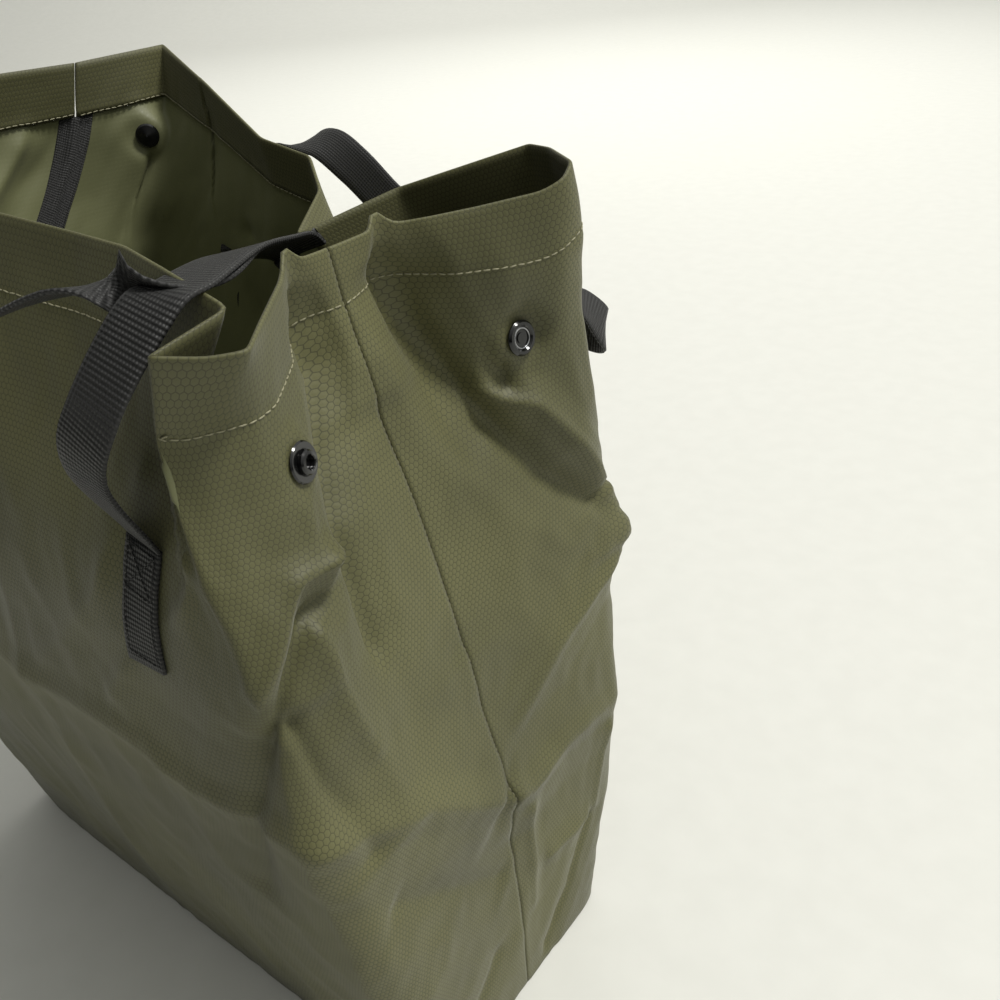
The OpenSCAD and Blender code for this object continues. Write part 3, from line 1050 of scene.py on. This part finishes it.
def strap(name, middles, wides, width=WEB_W, thickness=WEB_T):
    """Sweeps the webbing's section along middles, with its width along wides."""
    middles, wides = np.asarray(middles), np.asarray(wides)
    ahead = np.gradient(middles, axis=0)
    ahead /= np.linalg.norm(ahead, axis=1, keepdims=True)
    wides = wides - (wides * ahead).sum(1, keepdims=True) * ahead
    wides /= np.linalg.norm(wides, axis=1, keepdims=True)
    thick = np.cross(ahead, wides)
    run = np.concatenate([[0], np.cumsum(np.linalg.norm(np.diff(middles, axis=0), axis=1))])
    n = len(SECTION)
    points, uv = [], []
    for middle, wide, out, along in zip(middles, wides, thick, run):
        for a, b in SECTION:
            points.append(middle + wide * a * width + out * b * thickness)
            uv.append((a * width, along))
    faces = [(k * n + j, k * n + (j + 1) % n, (k + 1) * n + (j + 1) % n, (k + 1) * n + j)
             for k in range(len(middles) - 1) for j in range(n)]
    faces += [tuple(range(n))[::-1], tuple(range((len(middles) - 1) * n, len(middles) * n))]
    made = plain_mesh(name, np.array(points) * MM, faces)
    add_uv(made, np.array(uv) * MM)
    made.data.materials.append(webbing)
    made.data.polygons.foreach_set("use_smooth", [True] * len(faces))
    work = bmesh.new()
    work.from_mesh(made.data)
    bmesh.ops.recalc_face_normals(work, faces=work.faces)
    work.to_mesh(made.data)
    work.free()
    return made


# %% [markdown]
# ## Sewn legs
# The two ends of each handle lie flat on the face, a little off the cloth, and
# a box of stitches with a cross in it holds each one.

# %% Sewn legs
def column_at(side, x):
    """The fabric distance u at which the face passes x, halfway up the sewn leg."""
    tries = side * np.linspace(GUSSET, GUSSET + FACE, 400)
    found = [on_grid(u, 340.0, 0)[0][0] for u in tries]
    return float(tries[int(np.argmin(np.abs(np.array(found) - x)))])


legs = {}
for face, side in (("front", -1), ("back", 1)):
    for end, x in (("right", LEG_X), ("left", -LEG_X)):
        u = column_at(side, x)
        top_w = LEG_TOP + 3
        box_top, box_foot, leg_foot = top_w - 3, top_w - 3 - BOX_H, top_w - LEG_L + 4
        middles, wides = [], []
        for w in np.linspace(top_w - LEG_L, top_w, 16):
            middles.append(on_grid(u, w, WEB_T / 2 + LEG_OFF)[0])
            wides.append(on_grid(u + 6, w, 0)[0] - on_grid(u - 6, w, 0)[0])
        leg = strap(f"{face}_{end}_sewn_leg", middles, wides)
        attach(leg, "bag")
        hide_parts(f"{face}_{end}_leg")
        legs[face, end] = (u, middles[-1], np.array(wides[-1]), np.array(middles[-1]) - middles[-3])
        box = [(-BOX_HALF, box_top), (BOX_HALF, box_top), (BOX_HALF, box_foot), (-BOX_HALF, box_foot),
               (-BOX_HALF, box_top), (BOX_HALF, box_foot), (BOX_HALF, box_top), (-BOX_HALF, box_foot),
               (-BOX_HALF, leg_foot), (BOX_HALF, leg_foot), (BOX_HALF, box_foot)]
        line = []
        for (a, wa), (b, wb) in zip(box, box[1:]):
            line += [(u + a + (b - a) * t, wa + (wb - wa) * t) for t in np.linspace(0, 1, 8)[:-1]]
        sew_on(f"{face}_{end}_box_stitches", line, WEB_T + 0.45, fine_stitch, 3.0, webbing, 0.1, 7)
print("legs at u =", {k: round(v[0]) for k, v in legs.items()})

# %% [markdown]
# ## Free loops
# From its sewn legs each loop rises, twists and flops over. Every station is
# the strap's middle and the way its width points. The front loop lies across
# the mouth and is folded back under itself, so its returning half is the same
# stations in reverse, a little lower and to one side. A loop bends into the
# sewn legs over a short length.

# %% Free loops
RISING = [((125, -124, 392), (1, 0, 0)), ((138, -120, 420), (1, 0.2, 0)),
          ((145, -95, 448), (0.9, 0.4, 0))]
ACROSS_MOUTH = [((142, -75, 451), (0.85, 0.5, 0)), ((125, -40, 449), (0.8, 0.5, 0.15)),
                ((110, -10, 441), (0.8, 0.5, 0.3)), ((103, 6, 436), (0.8, 0.5, 0.4))]
FOLDED_END = ((99, 14, 430), (0.8, 0.5, 0.4))
FALLING = [((112, -100, 452), (0.6, 0.8, 0)), ((62, -116, 436), (0.1, 1, 0.2)),
           ((0, -122, 416), (-0.3, 1, 0.2)), ((-60, -122, 404), (-0.7, 0.8, 0.1)),
           ((-106, -118, 390), (-1, 0.3, 0))]
UNDER = np.array((-4.0, 3.0, -2.0))
RETURNING = [(tuple(UNDER + place), wide) for place, wide in reversed(ACROSS_MOUTH)]
FRONT_LOOP = RISING + ACROSS_MOUTH + [FOLDED_END] + RETURNING + FALLING
BACK_LOOP = [
    ((137, 146, 374), (-0.9, 0.4, 0)), ((152, 158, 366), (-0.7, 0.7, 0.5)),
    ((158, 168, 348), (-0.2, 0.4, 1)), ((132, 175, 346), (0, 0.2, 1)),
    ((84, 175, 362), (0, 0.3, 1)), ((36, 173, 382), (0, 0.3, 1)), ((2, 174, 400), (0.1, 0.4, 1)),
    ((-30, 178, 420), (0.2, 0.6, 0.9)), ((-60, 182, 432), (0.4, 0.9, 0.5)),
    ((-86, 180, 426), (0.8, 0.8, 0.2)), ((-106, 168, 402), (1, 0.3, 0)),
    ((-116, 156, 384), (1, 0.1, 0))]
STEPS = 10
for face, loop in (("front", FRONT_LOOP), ("back", BACK_LOOP)):
    first, last = legs[face, "right"], legs[face, "left"]
    sign = 1 if face == "front" else -1
    rows = [(*(first[1] - first[3]), *(first[2] * sign / 12)), (*first[1], *(first[2] * sign / 12))]
    rows += [(*place, *wide) for place, wide in loop]
    rows += [(*last[1], *(last[2] * -sign / 12)), (*(last[1] - last[3]), *(last[2] * -sign / 12))]
    path = spline(rows, STEPS)[STEPS:-STEPS]
    loop_strap = strap(face + "_handle_strap", path[:, :3], path[:, 3:])
    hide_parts(face + "_handle")
    face + "_handle"
    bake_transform(loop_strap)
    length = np.linalg.norm(np.diff(path[:, :3], axis=0), axis=1).sum()
    print(face, "loop length", round(float(length)), "mm")
